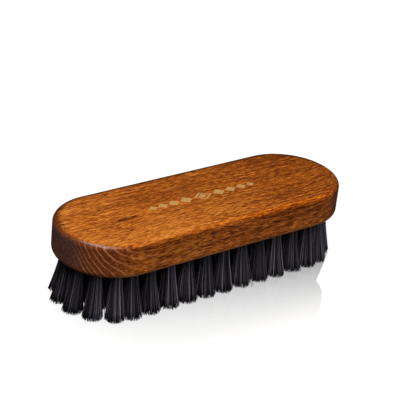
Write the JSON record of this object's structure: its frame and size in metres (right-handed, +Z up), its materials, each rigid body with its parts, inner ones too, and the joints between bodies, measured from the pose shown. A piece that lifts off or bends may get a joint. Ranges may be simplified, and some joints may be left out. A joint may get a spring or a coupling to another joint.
{
  "type": "clothes brush",
  "caption": "Hand-held clothes brush: a stadium-shaped stained wood block with rounded edges and flared dark bristle tufts anchored in blind holes in its underside.",
  "frame": {"origin": "under the middle of the brush, at the plane of the trimmed bristle ends", "axes": "+X along the brush's length, +Y across it, +Z up from the bristle ends through the block"},
  "size_m": [0.15, 0.051, 0.0378],
  "materials": {
    "stained_wood": "satin lacquer over brown stain, fine straight grain",
    "bristle": "slightly glossy near-black hair",
    "anchor_wire": "bright drawn flat wire"
  },
  "bodies": {
    "root": {"block": "stained_wood", "tuft_row_01": "bristle", "tuft_row_02": "bristle", "tuft_row_03": "bristle", "tuft_row_04": "bristle", "tuft_row_05": "bristle", "tuft_row_06": "bristle", "tuft_row_07": "bristle", "tuft_row_08": "bristle", "tuft_row_09": "bristle", "tuft_row_10": "bristle", "tuft_row_11": "bristle", "tuft_row_12": "bristle", "tuft_row_13": "bristle", "tuft_row_14": "bristle", "tuft_row_15": "bristle", "tuft_row_16": "bristle", "tuft_row_17": "bristle", "tuft_row_18": "bristle", "tuft_row_19": "bristle", "tuft_row_20": "bristle", "tuft_row_21": "bristle", "tuft_row_22": "bristle", "tuft_row_23": "bristle", "tuft_row_24": "bristle", "tuft_row_25": "bristle", "tuft_row_26": "bristle", "tuft_row_27": "bristle", "anchor_row_01": "anchor_wire", "anchor_row_02": "anchor_wire", "anchor_row_03": "anchor_wire", "anchor_row_04": "anchor_wire", "anchor_row_05": "anchor_wire", "anchor_row_06": "anchor_wire", "anchor_row_07": "anchor_wire", "anchor_row_08": "anchor_wire", "anchor_row_09": "anchor_wire", "anchor_row_10": "anchor_wire", "anchor_row_11": "anchor_wire", "anchor_row_12": "anchor_wire", "anchor_row_13": "anchor_wire", "anchor_row_14": "anchor_wire", "anchor_row_15": "anchor_wire", "anchor_row_16": "anchor_wire", "anchor_row_17": "anchor_wire", "anchor_row_18": "anchor_wire", "anchor_row_19": "anchor_wire", "anchor_row_20": "anchor_wire", "anchor_row_21": "anchor_wire", "anchor_row_22": "anchor_wire", "anchor_row_23": "anchor_wire", "anchor_row_24": "anchor_wire", "anchor_row_25": "anchor_wire", "anchor_row_26": "anchor_wire", "anchor_row_27": "anchor_wire"}
  },
  "joints": []
}
